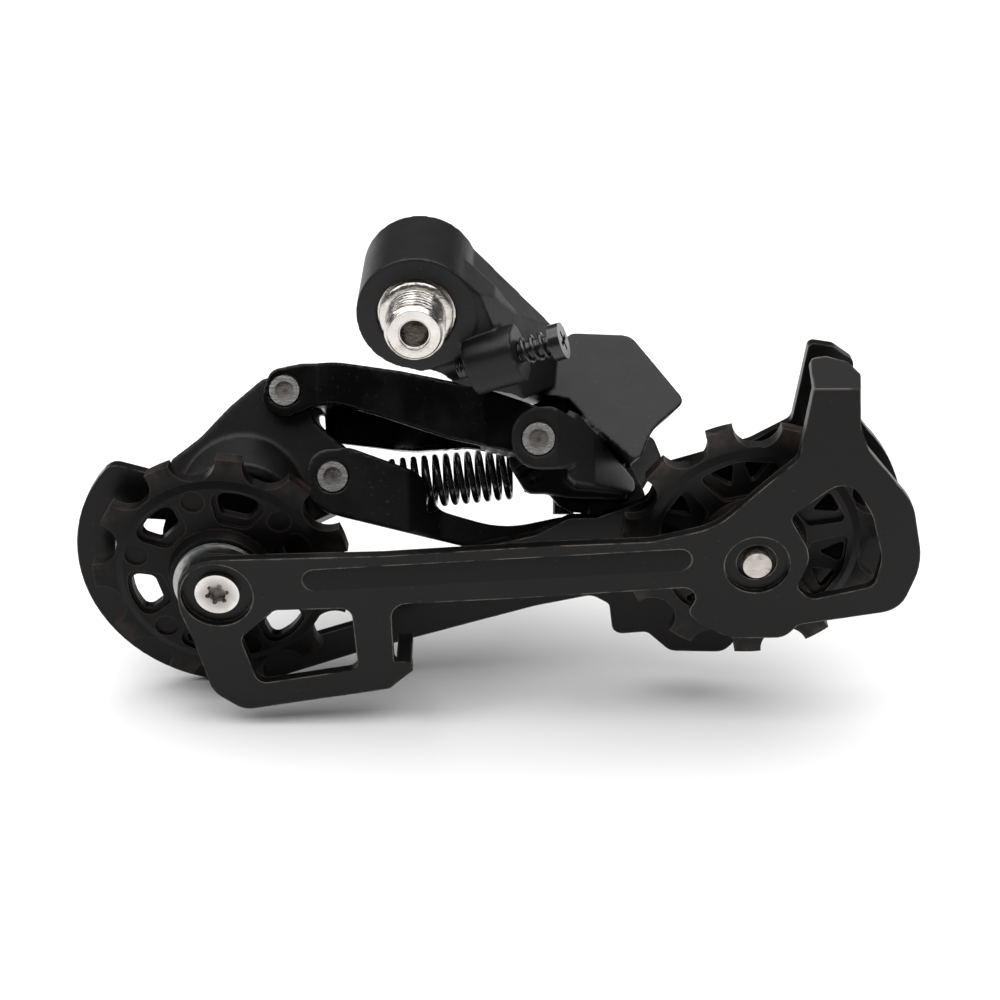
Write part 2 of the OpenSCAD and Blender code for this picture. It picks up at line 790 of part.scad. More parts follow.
module inner_cage_plate() {
    back = inner_face_y + plate_t;
    seat_guide_r = 6.4;
    seat_tension_r = 5.7;
    rib_a = [-19, -48.4];
    rib_b = [45, -44.3];
    bead_half = 2.2;
    bead_tilt = 11;
    color(black)
        difference() {
            union() {
                across(inner_face_y, back)
                    difference() {
                        inner_plate_face();
                        // Loop below the guide pulley
                        polygon(rounded([
                            [-33, -60.6, 2], [-26.5, -54.6, 2], [-12.8, -54.2, 2], [-12.1, -67.4, 2], [-30.4, -70.6, 2]
                        ]));
                        // Window beside the tension pulley
                        polygon(rounded([
                            [63.6, -35.7, 1.5], [73, -27.6, 3.5], [77.8, -35.3, 8], [80.3, -44, 8], [79.4, -49.8, 2],
                            [68.5, -52.6, 2.5], [65.8, -50, 1.5], [68, -43.4, 6]
                        ]));
                    }
                rod(guide, seat_guide_r + 0.5, inner_face_y + seat_drop, seat_in_y);
                rod(tension, seat_tension_r + 0.5, inner_face_y + seat_drop, seat_in_y);
                across(inner_face_y + 0.5, back + 0.8)
                    polygon(slot_path(rib_a, rib_b, 2.8));
                // Flange that leans outboard above the tension pulley
                translate([0, inner_face_y, tab_z])
                    rotate([-45, 0, 0])
                        across(0, plate_t)
                            polygon(rounded([
                                [65.8, -0.4, 0], [73.5, -0.4, 0], [73.6, 2.2, 1], [71.5, 4.4, 1], [68, 5.4, 1],
                                [65.3, 5, 0.8]
                            ]));
                // Tongue that keeps the chain between the plates
                translate([-5.2, inner_face_y + 0.2, -67.5])
                    rotate([6, 0, 0])
                        cube([2.7, 8, 1.7]);
            }
            rod(guide, seat_guide_r, inner_face_y - 2, inner_face_y + seat_drop);
            rod(tension, seat_tension_r, inner_face_y - 2, inner_face_y + seat_drop - 0.4);
            rod(tension, screw_r + 1, inner_face_y - 2, inner_face_y + seat_drop + 0.5);
            // Bead pressed into the arm, deepest along its upper edge
            intersection() {
                across(inner_face_y - 1, inner_face_y + 1)
                    polygon(slot_path(rib_a, rib_b, bead_half));
                translate([rib_a[0], inner_face_y, rib_a[1] - bead_half])
                    rotate([0, -3.7, 0])
                        rotate([-bead_tilt, 0, 0])
                            translate([-6, -5, -1])
                                cube([78, 5, 8]);
            }
            rod(guide, screw_r + 0.1, -20, 0);
            rod(tension, screw_r + 0.01, -20, 0);
        }
}

// Rim with round gaps for the chain's rollers
module toothed_rim(c, phase) {
    gap_r = 4.25;
    gap_at = 23.45;
    difference() {
        rod(c, tip_r, tooth_mid_y - tooth_t / 2, tooth_mid_y + tooth_t / 2);
        for (i = [0:teeth - 1])
            let (a = phase + 360 * (i + 0.5) / teeth)
                rod(c + gap_at * [cos(a), sin(a)], gap_r, -5, 12);
    }
}

// Turned body of a pulley, widest at its hub
module pulley_body(c) {
    hub_half = 4.1;
    web_half = 1.7;
    translate([c[0], tooth_mid_y, c[1]])
        rotate([90, 0, 0])
            rotate_extrude()
                polygon([
                    [bush_r + run_gap, -hub_half], [9, -hub_half], [9.6, -web_half], [17.8, -web_half],
                    [19.4, -tooth_t / 2 + 0.1], [19.4, tooth_t / 2 - 0.1], [17.8, web_half], [9.6, web_half],
                    [9, hub_half], [bush_r + run_gap, hub_half]
                ]);
}

// Piece of a ring between two radii, its corners rounded
module ring_piece(c, r0, r1, half, mid, fillet) {
    translate(c)
        rotate(mid)
            polygon(ring_corners(r0, r1, half, fillet));
}

function ring_corners(r0, r1, half, fillet) = rounded([
    [r1 * cos(half), -r1 * sin(half), fillet], [r1 * 1.02, 0, r1 / 2], [r1 * cos(half), r1 * sin(half), fillet],
    [r0 * cos(half * 0.8), r0 * sin(half * 0.8), fillet], [r0 * cos(half * 0.8), -r0 * sin(half * 0.8), fillet]
], 4);

module guide_pulley() {
    windows = 6;
    window_phase = 15;
    color(plastic)
        difference() {
            union() {
                toothed_rim(guide, guide_phase);
                pulley_body(guide);
            }
            rod(guide, bush_r + run_gap, -10, 15);
            for (i = [0:windows - 1])
                let (a = window_phase + i * 360 / windows) {
                    across(-5, 12)
                        ring_piece(guide, 12.3, 16.6, 15, a, 1.4);
                    across(-5, tooth_mid_y - 0.9)
                        ring_piece(guide, 10.7, 17.3, 19, a, 2);
                    across(tooth_mid_y + 0.9, 12)
                        ring_piece(guide, 10.7, 17.3, 19, a, 2);
                    for (y = [tooth_mid_y - 5.2, tooth_mid_y + 1.2])
                        rod(guide + 15.6 * [cos(a + 30), sin(a + 30)], 2.1, y, y + 4);
                }
        }
}

module tension_pulley() {
    spokes = 6;
    spoke_phase = 12;
    color(plastic)
        difference() {
            union() {
                toothed_rim(tension, tension_phase);
                pulley_body(tension);
            }
            rod(tension, bush_r + run_gap, -10, 15);
            for (i = [0:spokes - 1])
                let (a = spoke_phase + (i + 0.5) * 360 / spokes) {
                    for (y = [tooth_mid_y - 6.7, tooth_mid_y + 0.7])
                        across(y, y + 6)
                            ring_piece(tension, 10.4, 17, 25.5, a, 1);
                    for (side = [-1, 1])
                        across(-5, 12)
                            translate(tension)
                                rotate(a + side * 11.5)
                                    polygon(rounded([[12, -side * 0.6, 0.4], [16.4, -2.4, 0.6], [16.4, 2.4, 0.6]], 3));
                }
        }
}

module bush(c) {
    color(nickel)
        ring(c, bush_r, screw_r + 0.05, seat_in_y + 0.03, seat_out_y - 0.03);
}

module guide_bush() {
    bush(guide);
}

module tension_bush() {
    bush(tension);
}

// Dished cover that keeps dirt out of a bush
module pulley_cap(c, y0) {
    color("#a9adb2")
        difference() {
            rod(c, cap_r, y0, y0 + cap_t);
            rod(c, bush_r + 0.05, y0 - 1, y0 + 3);
        }
}

module guide_cap_inner() {
    pulley_cap(guide, seat_in_y + 0.1);
}

module guide_cap_outer() {
    pulley_cap(guide, seat_out_y - 0.1 - cap_t);
}

module tension_cap_inner() {
    pulley_cap(tension, seat_in_y + 0.1);
}

module tension_cap_outer() {
    pulley_cap(tension, seat_out_y - 0.1 - cap_t);
}

module guide_screw() {
    head_r = 3.95;
    head_y = inner_face_y + seat_drop - 1;
    color(nickel)
        difference() {
            union() {
                rod(guide, head_r, head_y, inner_face_y + seat_drop - 0.02);
                rod(guide, screw_r, head_y + 0.5, outer_face_y + plate_t - 0.1);
            }
            // Six-lobed recess
            rod(guide, 1.55, head_y - 1, head_y + 1.6);
            for (i = [0:5])
                rod(guide + 1.72 * [cos(60 * i + 12), sin(60 * i + 12)], 0.45, head_y - 1, head_y + 1.6);
        }
}

module tension_axle() {
    color(nickel)
        union() {
            rod(tension, screw_r, inner_face_y - 0.2, outer_face_y + plate_t + 0.5);
            rod(tension, 4.4, outer_face_y + plate_t + 0.03, outer_face_y + plate_t + 1.8);
        }
}

mount_bolt();
bolt_clip();
b_knuckle();
b_bush();
b_seal();
b_tension_screw();
b_screw_spring();
limit_screw_high();
limit_screw_low();
upper_link();
lower_link();
pin_upper_b();
pin_upper_p();
pin_lower_b();
pin_lower_p();
return_spring();
cable_bolt();
cable_washer();
p_knuckle();
p_bush();
p_spring();
p_cap();
p_seal();
p_axle();
cage_stop_pin();
outer_cage_plate();
inner_cage_plate();
guide_pulley();
guide_bush();
guide_cap_inner();
guide_cap_outer();
guide_screw();
tension_pulley();
tension_bush();
tension_cap_inner();
tension_cap_outer();
tension_axle();
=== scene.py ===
"""Rear bicycle derailleur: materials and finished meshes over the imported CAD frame."""

import json
import math

import bpy
import bmesh
from mathutils import Matrix, Vector, noise

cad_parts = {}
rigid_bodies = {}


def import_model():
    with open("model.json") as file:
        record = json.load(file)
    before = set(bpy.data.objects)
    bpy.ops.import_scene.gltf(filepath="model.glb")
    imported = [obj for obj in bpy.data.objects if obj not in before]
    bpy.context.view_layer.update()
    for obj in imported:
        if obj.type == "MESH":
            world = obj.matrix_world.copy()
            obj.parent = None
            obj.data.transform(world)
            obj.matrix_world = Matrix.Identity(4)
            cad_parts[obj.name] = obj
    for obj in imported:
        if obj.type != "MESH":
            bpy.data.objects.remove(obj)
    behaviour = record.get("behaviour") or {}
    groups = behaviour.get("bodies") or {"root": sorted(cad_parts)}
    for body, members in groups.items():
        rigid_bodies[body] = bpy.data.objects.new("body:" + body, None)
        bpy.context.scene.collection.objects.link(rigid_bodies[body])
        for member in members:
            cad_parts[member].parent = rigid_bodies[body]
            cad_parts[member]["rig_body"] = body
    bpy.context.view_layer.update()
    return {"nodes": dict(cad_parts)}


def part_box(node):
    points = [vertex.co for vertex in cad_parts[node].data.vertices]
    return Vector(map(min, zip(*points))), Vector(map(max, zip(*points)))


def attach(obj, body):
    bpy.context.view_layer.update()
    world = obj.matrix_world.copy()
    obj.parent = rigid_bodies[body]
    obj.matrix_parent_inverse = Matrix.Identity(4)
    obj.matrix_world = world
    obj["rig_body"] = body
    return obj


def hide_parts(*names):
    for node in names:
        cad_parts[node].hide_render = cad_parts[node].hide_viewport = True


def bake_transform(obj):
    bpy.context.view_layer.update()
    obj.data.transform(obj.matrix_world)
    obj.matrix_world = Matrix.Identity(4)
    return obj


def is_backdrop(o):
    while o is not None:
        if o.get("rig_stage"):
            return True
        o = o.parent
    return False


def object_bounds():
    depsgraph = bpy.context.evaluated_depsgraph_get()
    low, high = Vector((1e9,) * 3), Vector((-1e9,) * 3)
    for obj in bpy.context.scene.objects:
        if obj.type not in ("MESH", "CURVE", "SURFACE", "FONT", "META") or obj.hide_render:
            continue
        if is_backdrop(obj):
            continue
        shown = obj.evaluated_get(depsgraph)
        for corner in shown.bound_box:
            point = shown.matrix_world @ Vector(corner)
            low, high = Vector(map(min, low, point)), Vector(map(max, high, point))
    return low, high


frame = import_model()
nodes = frame["nodes"]
MM = 0.001

# The hanger bolt's shoulder, from the knuckle's face, and its thread
SHOULDER_Y = -0.0009
BOLT_THREAD_R = 0.005
BOLT_PITCH = 0.001

# The knuckle screw's coil: turns, radius, wire, first turn and travel, in millimetres
COIL_TURNS = 3
COIL_R = 2.1
COIL_WIRE_R = 0.33
COIL_START = 0.45
COIL_SPAN = 4.9
STEPS_PER_TURN = 28

# The link pins' slanted frame: x as in the row, v up the slant, w along the pins towards the wheel
SLANT = math.radians(32)
PIN_AXIS = Vector((0, -math.cos(SLANT), math.sin(SLANT)))
UP_SLANT = Vector((0, math.sin(SLANT), math.cos(SLANT)))


def slanted(x, v, w):
    """Point of the slanted frame, in millimetres, as a row point in metres."""
    return (Vector((x, 0, 0)) + UP_SLANT * v + PIN_AXIS * w) * MM


def centre(node):
    low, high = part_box(node)
    return (Vector(low) + Vector(high)) / 2


# ---------------------------------------------------------------- materials


class Graph:
    """Short way to write a material's nodes."""

    def __init__(self, name, **shader):
        self.material = bpy.data.materials.new(name)
        self.material.use_nodes = True
        self.tree = self.material.node_tree
        self.shader = self.tree.nodes["Principled BSDF"]
        for socket, value in shader.items():
            self.shader.inputs[socket.replace("_", " ")].default_value = value
        self.where = self.add("ShaderNodeTexCoord").outputs["Object"]

    def add(self, kind, **inputs):
        node = self.tree.nodes.new(kind)
        for key, value in inputs.items():
            self.put(node.inputs[key.replace("_", " ")], value)
        return node

    def put(self, socket, value):
        if isinstance(value, bpy.types.NodeSocket):
            self.tree.links.new(value, socket)
        else:
            socket.default_value = value

    def stretch(self, sx, sy, sz, turn=(0, 0, 0)):
        mapping = self.add("ShaderNodeMapping", Vector=self.where)
        mapping.inputs["Scale"].default_value = (sx, sy, sz)
        mapping.inputs["Rotation"].default_value = turn
        return mapping.outputs["Vector"]

    def noise(self, scale, detail=3.0, rough=0.55, vector=None, distortion=0.0):
        node = self.add("ShaderNodeTexNoise", Scale=scale, Detail=detail, Roughness=rough,
                        Distortion=distortion)
        self.put(node.inputs["Vector"], vector or self.where)
        return node.outputs["Fac"]

    def ramp(self, factor, low, high, start=(0, 0, 0, 1), end=(1, 1, 1, 1)):
        node = self.add("ShaderNodeValToRGB", Fac=factor)
        node.color_ramp.elements[0].position = low
        node.color_ramp.elements[0].color = start
        node.color_ramp.elements[1].position = high
        node.color_ramp.elements[1].color = end
        return node.outputs["Color"]

    def mix(self, factor, a, b):
        node = self.tree.nodes.new("ShaderNodeMix")
        node.data_type = "RGBA"
        self.put(node.inputs[0], factor)
        self.put(node.inputs[6], a)
        self.put(node.inputs[7], b)
        return node.outputs[2]

    def math(self, operation, a, b=0.0):
        node = self.tree.nodes.new("ShaderNodeMath")
        node.operation = operation
        node.use_clamp = operation in ("MULTIPLY", "ADD", "SUBTRACT")
        self.put(node.inputs[0], a)
        self.put(node.inputs[1], b)
        return node.outputs[0]

    def span(self, factor, low, high):
        node = self.add("ShaderNodeMapRange", Value=factor, To_Min=low, To_Max=high)
        return node.outputs["Result"]

    def edges(self, radius, low, high):
        """1 along sharp outer and inner edges, 0 on flats."""
        bevel = self.tree.nodes.new("ShaderNodeBevel")
        bevel.samples = 4
        bevel.inputs["Radius"].default_value = radius
        flat = self.tree.nodes.new("ShaderNodeNewGeometry").outputs["Normal"]
        dot = self.tree.nodes.new("ShaderNodeVectorMath")
        dot.operation = "DOT_PRODUCT"
        self.put(dot.inputs[0], bevel.outputs["Normal"])
        self.put(dot.inputs[1], flat)
        return self.ramp(self.math("SUBTRACT", 1.0, dot.outputs["Value"]), low, high)

    def radius(self, middle, axis):
        """Distance from the line through middle along axis, in metres."""
        offset = self.tree.nodes.new("ShaderNodeVectorMath")
        offset.operation = "SUBTRACT"
        self.put(offset.inputs[0], self.where)
        offset.inputs[1].default_value = middle
        across = self.tree.nodes.new("ShaderNodeVectorMath")
        across.operation = "CROSS_PRODUCT"
        self.put(across.inputs[0], offset.outputs["Vector"])
        across.inputs[1].default_value = axis
        length = self.tree.nodes.new("ShaderNodeVectorMath")
        length.operation = "LENGTH"
        self.put(length.inputs[0], across.outputs["Vector"])
        return length.outputs["Value"]

    def bump(self, *heights):
        """Bumps given as (height, distance in metres), stacked."""
        normal = None
        for height, distance in heights:
            node = self.add("ShaderNodeBump", Strength=1.0, Distance=distance, Height=height)
            if normal:
                self.put(node.inputs["Normal"], normal)
            normal = node.outputs["Normal"]
        self.put(self.shader.inputs["Normal"], normal)

    def finish(self, color, roughness):
        self.put(self.shader.inputs["Base Color"], color)
        self.put(self.shader.inputs["Roughness"], roughness)
        return self.material


def grey(value, warm=0.0):
    return (value * (1 + warm), value, value * (1 - warm), 1)


def cast_black(name, base, rough, specular=0.22, gloss_patches=0.0, grime=0.3):
    """Black paint on a casting: fine grain, dust specks, hairline scuffs, worn edges, and grease if asked."""
    g = Graph(name, Specular_IOR_Level=specular)
    grain = g.noise(2600, 2)
    cloud = g.noise(70, 4)
    orange = g.noise(620, 2)
    specks = g.ramp(g.noise(1500, 1, 0.4), 0.71, 0.75)
    scuffs = g.ramp(g.noise(1, 3, 0.7, vector=g.stretch(160, 1900, 700, (0.3, 0.5, 0.2))), 0.66, 0.7)
    patches = g.ramp(g.noise(130, 4, 0.6), 0.52, 0.6)
    worn = g.math("MULTIPLY", g.edges(0.0004, 0.03, 0.3), g.ramp(g.noise(300, 4), 0.4, 0.6))
    tone = g.mix(cloud, grey(base * 0.7), grey(base * 1.35))
    tone = g.mix(g.math("MULTIPLY", g.math("MULTIPLY", scuffs, patches), grime), tone, grey(0.06, 0.03))
    tone = g.mix(g.math("MULTIPLY", specks, grime), tone, grey(0.08, 0.04))
    tone = g.mix(g.math("MULTIPLY", worn, 0.35), tone, grey(0.07, 0.06))
    roughness = g.span(g.noise(240, 3), rough - 0.07, rough + 0.07)
    if gloss_patches:
        wet = g.ramp(g.noise(110, 3, 0.5, distortion=0.4), 0.42, 0.62)
        roughness = g.mix(wet, roughness, grey(max(0.12, rough - gloss_patches)))
    g.bump((cloud, 0.00005), (orange, 0.00002), (grain, 0.000018))
    return g.finish(tone, roughness)


def coated_plate(name, base=0.012, rough=0.36, specular=0.4, rub=0.8):
    """Electro-coated sheet steel: faint drawn streaks, specks, and edges worn brown and bright."""
    g = Graph(name, Specular_IOR_Level=specular)
    streak = g.noise(1, 3, vector=g.stretch(60, 900, 900))
    grain = g.noise(3400, 2)
    cloud = g.noise(90, 4)
    specks = g.ramp(g.noise(1300, 1, 0.3), 0.76, 0.79)
    bare = g.ramp(g.noise(260, 4), 0.38, 0.58)
    worn = g.math("MULTIPLY", g.edges(0.00045, 0.03, 0.2), bare)
    tone = g.mix(cloud, grey(base * 0.75, 0.02), grey(base * 1.35, 0.05))
    tone = g.mix(g.math("MULTIPLY", specks, 0.15), tone, grey(0.08, 0.05))
    tone = g.mix(g.math("MULTIPLY", worn, rub), tone, (0.25, 0.225, 0.2, 1))
    g.put(g.shader.inputs["Metallic"], g.math("MULTIPLY", worn, 0.6))
    roughness = g.span(g.math("ADD", g.math("MULTIPLY", streak, 0.5), g.math("MULTIPLY", cloud, 0.5)),
                       rough - 0.1, rough + 0.14)
    g.bump((cloud, 0.00003), (streak, 0.000012), (grain, 0.000014))
    return g.finish(tone, roughness)


def moulded_nylon(name, base=0.006, rough=0.42, rub=0.5, specular=0.3, centre=None):
    """Black nylon: soft mould texture, flow streaks, and teeth rubbed brownish by the chain."""
    g = Graph(name, Specular_IOR_Level=specular)
    grain = g.noise(3000, 2)
    cloud = g.noise(120, 4)
    flow = g.noise(1, 3, vector=g.stretch(260, 700, 260, (0, 0.6, 0)))
    worn = g.math("MULTIPLY", g.edges(0.0005, 0.03, 0.3), g.ramp(g.noise(200, 3), 0.36, 0.58))
    tone = g.mix(cloud, grey(base * 0.7), grey(base * 1.4))
    tone = g.mix(g.math("MULTIPLY", worn, rub), tone, (0.1, 0.07, 0.058, 1))
    if centre:
        rim = g.ramp(g.radius(centre, (0, 1, 0)), 0.0206, 0.0222)
        rubbed = g.math("MULTIPLY", rim, g.ramp(g.noise(330, 4), 0.4, 0.66))
        tone = g.mix(g.math("MULTIPLY", rubbed, rub * 0.7), tone, (0.075, 0.055, 0.048, 1))
    roughness = g.span(g.math("ADD", g.math("MULTIPLY", cloud, 0.6), g.math("MULTIPLY", flow, 0.4)),
                       rough - 0.1, rough + 0.14)
    g.bump((cloud, 0.00003), (grain, 0.000018))
    return g.finish(tone, roughness)


def bright_metal(name, color, rough, scratch=0.00001, stain=0.25, brown=(0.2, 0.13, 0.08, 1), dark_centre=None):
    """Plated steel, scratched and stained; the optional middle (centre, axis, radius, colour) is darker,
    mottled and less metallic within that radius of the axis.
    """
    g = Graph(name)
    scratches = g.ramp(g.noise(1, 4, 0.7, vector=g.stretch(500, 3200, 900, (0.4, 0.2, 0.7))), 0.45, 0.6)
    cloud = g.noise(350, 4)
    blot = g.ramp(g.noise(520, 5, 0.6), 0.54, 0.72)
    centre_mottle = g.ramp(g.noise(900, 4, 0.6), 0.42, 0.62)
    dark = (color[0] * 0.6, color[1] * 0.58, color[2] * 0.56, 1)
    tone = g.mix(cloud, dark, color)
    tone = g.mix(g.math("MULTIPLY", blot, stain), tone, brown)
    metal = 1.0
    if dark_centre:
        middle, axis, radius, centre_colour = dark_centre
        inside = g.ramp(g.radius(middle, axis), radius * 0.94, radius * 1.04, (1, 1, 1, 1), (0, 0, 0, 1))
        tone = g.mix(inside, tone, g.mix(centre_mottle, centre_colour, tuple(min(1, c * 2.6) for c in centre_colour[:3]) + (1,)))
        metal = g.math("SUBTRACT", 1.0, g.math("MULTIPLY", inside, 0.75))
    g.put(g.shader.inputs["Metallic"], metal)
    roughness = g.span(g.math("ADD", g.math("MULTIPLY", scratches, 0.4), g.math("MULTIPLY", blot, 0.6)),
                       rough, rough + 0.22)
    g.bump((scratches, scratch), (cloud, 0.00001))
    return g.finish(tone, roughness)


def oiled_wire(name):
    """Blackened spring wire with patchy grease."""
    g = Graph(name, Specular_IOR_Level=0.6)
    grease = g.ramp(g.noise(420, 4), 0.4, 0.65)
    tone = g.mix(grease, grey(0.006), grey(0.02, 0.03))
    roughness = g.span(grease, 0.34, 0.13)
    g.bump((g.noise(1400, 3), 0.00002))
    return g.finish(tone, roughness)


def soft_rubber(name):
    g = Graph(name, Specular_IOR_Level=0.3)
    fine = g.noise(2200, 3)
    g.bump((fine, 0.00003))
    return g.finish(g.mix(fine, grey(0.01), grey(0.022)), g.span(g.noise(300, 3), 0.6, 0.8))


# Pin ends: darker, brownish, mottled and less metallic within 1.8 mm of the pin's axis.
def pin_paint(name, node):
    return bright_metal(name, (0.8, 0.81, 0.8, 1), 0.24, 0.00001, 0.25, (0.2, 0.2, 0.2, 1),
                        (centre(node), tuple(PIN_AXIS), 0.0018, (0.05, 0.038, 0.03, 1)))


knuckle_paint = cast_black("knuckle_paint", 0.003, 0.44, 0.3, grime=0.12)
outer_paint = cast_black("outer_knuckle_paint", 0.004, 0.46, 0.25, grime=0.15)
link_paint = cast_black("upper_link_paint", 0.0012, 0.33, 0.15, 0.14, 0.12)
lower_paint = cast_black("lower_link_paint", 0.005, 0.38, 0.28, 0.08)
plate_coat = coated_plate("plate_coat", 0.005, 0.34, 0.18)
# The outer cage plate's coat is the same coated steel as plate_coat. Its base is darker as painted shade for
# the shadow the outer plate sits in.
shade_darkened_guard_coat = coated_plate("shade_darkened_guard_coat", 0.003, 0.3, 0.16, 0.7)
pulley_nylon = moulded_nylon("pulley_nylon", 0.003, specular=0.12, centre=centre("guide_pulley"))
tension_nylon = moulded_nylon("tension_nylon", 0.004, rub=0.9, specular=0.2, centre=centre("tension_pulley"))
cap_nylon = moulded_nylon("cap_nylon", 0.008, 0.45, 0.2)
nickel = bright_metal("nickel", (0.78, 0.75, 0.71, 1), 0.14, 0.00002, 0.35)
# Guide screw: brown rust in its middle, over the socket.
stainless = bright_metal("stainless", (0.84, 0.82, 0.79, 1), 0.3, 0.00001, 0.12,
                         dark_centre=(centre("guide_screw"), (0, 1, 0), 0.00212, (0.035, 0.022, 0.015, 1)))
worn_pin = bright_metal("worn_pin", (0.62, 0.59, 0.55, 1), 0.32, 0.00004, 0.6, (0.16, 0.13, 0.11, 1))
dust_cap_steel = bright_metal("dust_cap_steel", (0.5, 0.51, 0.52, 1), 0.36, 0.00003, 0.3, (0.1, 0.09, 0.08, 1))
rivet_zinc = bright_metal("rivet_zinc", (0.66, 0.72, 0.78, 1), 0.2, 0.00001, 0.2, (0.2, 0.24, 0.3, 1))
brass = bright_metal("brass", (0.62, 0.45, 0.22, 1), 0.3)
wire_black = oiled_wire("wire_black")
screw_black = cast_black("screw_black", 0.008, 0.26, 0.5, 0.12)
rubber = soft_rubber("rubber")

PAINTS = {
    "b_knuckle": knuckle_paint, "p_knuckle": outer_paint, "upper_link": link_paint, "lower_link": lower_paint,
    "inner_cage_plate": plate_coat, "outer_cage_plate": shade_darkened_guard_coat,
    "guide_pulley": pulley_nylon, "tension_pulley": tension_nylon, "p_cap": cap_nylon,
    "mount_bolt": nickel, "bolt_clip": nickel, "cable_bolt": nickel, "cable_washer": nickel, "p_axle": nickel,
    "pin_upper_b": pin_paint("pin_upper_b_steel", "pin_upper_b"), "pin_lower_b": rivet_zinc,
    "pin_upper_p": pin_paint("pin_upper_p_steel", "pin_upper_p"),
    "pin_lower_p": pin_paint("pin_lower_p_steel", "pin_lower_p"),
    "cage_stop_pin": rivet_zinc, "guide_screw": stainless, "tension_axle": worn_pin,
    "guide_bush": nickel, "tension_bush": nickel,
    "guide_cap_inner": dust_cap_steel, "guide_cap_outer": dust_cap_steel,
    "tension_cap_inner": dust_cap_steel, "tension_cap_outer": dust_cap_steel,
    "b_bush": brass, "p_bush": brass, "b_seal": rubber, "p_seal": rubber, "p_spring": rivet_zinc,
    "b_screw_spring": wire_black, "return_spring": wire_black,
    "b_tension_screw": screw_black, "limit_screw_high": screw_black, "limit_screw_low": screw_black,
}


def paint(obj, material):
    obj.data.materials.clear()
    obj.data.materials.append(material)


def soften(obj, width, segments=3, angle=30):
    """Rounds a CAD node's edges without touching its mesh."""
    bevel = obj.modifiers.new("edge", "BEVEL")
    bevel.width = width
    bevel.segments = segments
    bevel.limit_method = "ANGLE"
    bevel.angle_limit = math.radians(angle)
    bevel.use_clamp_overlap = True
    bevel.harden_normals = True


EDGES = {
    "inner_cage_plate": 0.00035, "outer_cage_plate": 0.00035, "guide_pulley": 0.0003, "tension_pulley": 0.0003,
    "guide_screw": 0.00022, "tension_axle": 0.0006, "p_axle": 0.0003, "cable_bolt": 0.0003,
    "guide_cap_inner": 0.0003, "guide_cap_outer": 0.0003,
    "tension_cap_inner": 0.0003, "tension_cap_outer": 0.0003,
    "pin_upper_b": 0.0003, "pin_upper_p": 0.0003, "pin_lower_p": 0.0003, "pin_lower_b": 0.0003,
    "b_tension_screw": 0.00025, "limit_screw_high": 0.00025, "limit_screw_low": 0.00025,
    "cable_washer": 0.0002, "cage_stop_pin": 0.0002,
}

for name, obj in nodes.items():
    paint(obj, PAINTS[name])
    for polygon in obj.data.polygons:
        polygon.use_smooth = True
    if name in EDGES:
        soften(obj, EDGES[name])


# ---------------------------------------------------------------- mesh pieces


def new_piece(name, mesh, material, body):
    obj = bpy.data.objects.new(name, mesh)
    bpy.context.scene.collection.objects.link(obj)
    paint(obj, material)
    for polygon in mesh.polygons:
        polygon.use_smooth = True
    if body:
        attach(obj, body)
    return obj


def loft(name, rings, closed=False, cap=True):
    """Mesh through rings of points, all of one count."""
    bm = bmesh.new()
    rows = [[bm.verts.new(p) for p in ring] for ring in rings]
    count = len(rows[0])
    pairs = list(zip(rows, rows[1:]))
    if closed:
        pairs.append((rows[-1], rows[0]))
    for a, b in pairs:
        for k in range(count):
            m = (k + 1) % count
            bm.faces.new((a[k], a[m], b[m], b[k]))
    if cap and not closed:
        bm.faces.new(rows[0][::-1])
        bm.faces.new(rows[-1])
    bmesh.ops.recalc_face_normals(bm, faces=bm.faces)
    mesh = bpy.data.meshes.new(name)
    bm.to_mesh(mesh)
    bm.free()
    return mesh


def tube(name, path, radius, sides=12):
    """Round wire along a path, with a frame carried from point to point."""
    rings = []
    across = None
    for i, point in enumerate(path):
        along = (path[min(i + 1, len(path) - 1)] - path[max(i - 1, 0)]).normalized()
        if across is None:
            across = along.orthogonal().normalized()
        across = (across - along * across.dot(along)).normalized()
        other = along.cross(across)
        rings.append([point + (across * math.cos(t) + other * math.sin(t)) * radius
                      for t in (2 * math.pi * k / sides for k in range(sides))])
    return loft(name, rings)


def cast(name, node, voxel, rounds):
    """A casting's skin: the CAD node melted together and rounded."""
    bm = bmesh.new()
    bm.from_mesh(nodes[node].data)
    bmesh.ops.remove_doubles(bm, verts=bm.verts, dist=1e-7)
    mesh = bpy.data.meshes.new(name)
    bm.to_mesh(mesh)
    bm.free()
    raw = bpy.data.objects.new(name + "_raw", mesh)
    bpy.context.scene.collection.objects.link(raw)
    remesh = raw.modifiers.new("melt", "REMESH")
    remesh.mode = "VOXEL"
    remesh.voxel_size = voxel
    smooth = raw.modifiers.new("round", "SMOOTH")
    smooth.factor = 0.5
    smooth.iterations = rounds
    bpy.context.view_layer.update()
    skin = bpy.data.meshes.new_from_object(raw.evaluated_get(bpy.context.evaluated_depsgraph_get()))
    skin.name = name
    bpy.data.objects.remove(raw)
    piece = new_piece(name, skin, PAINTS[node], nodes[node]["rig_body"])
    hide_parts(node)


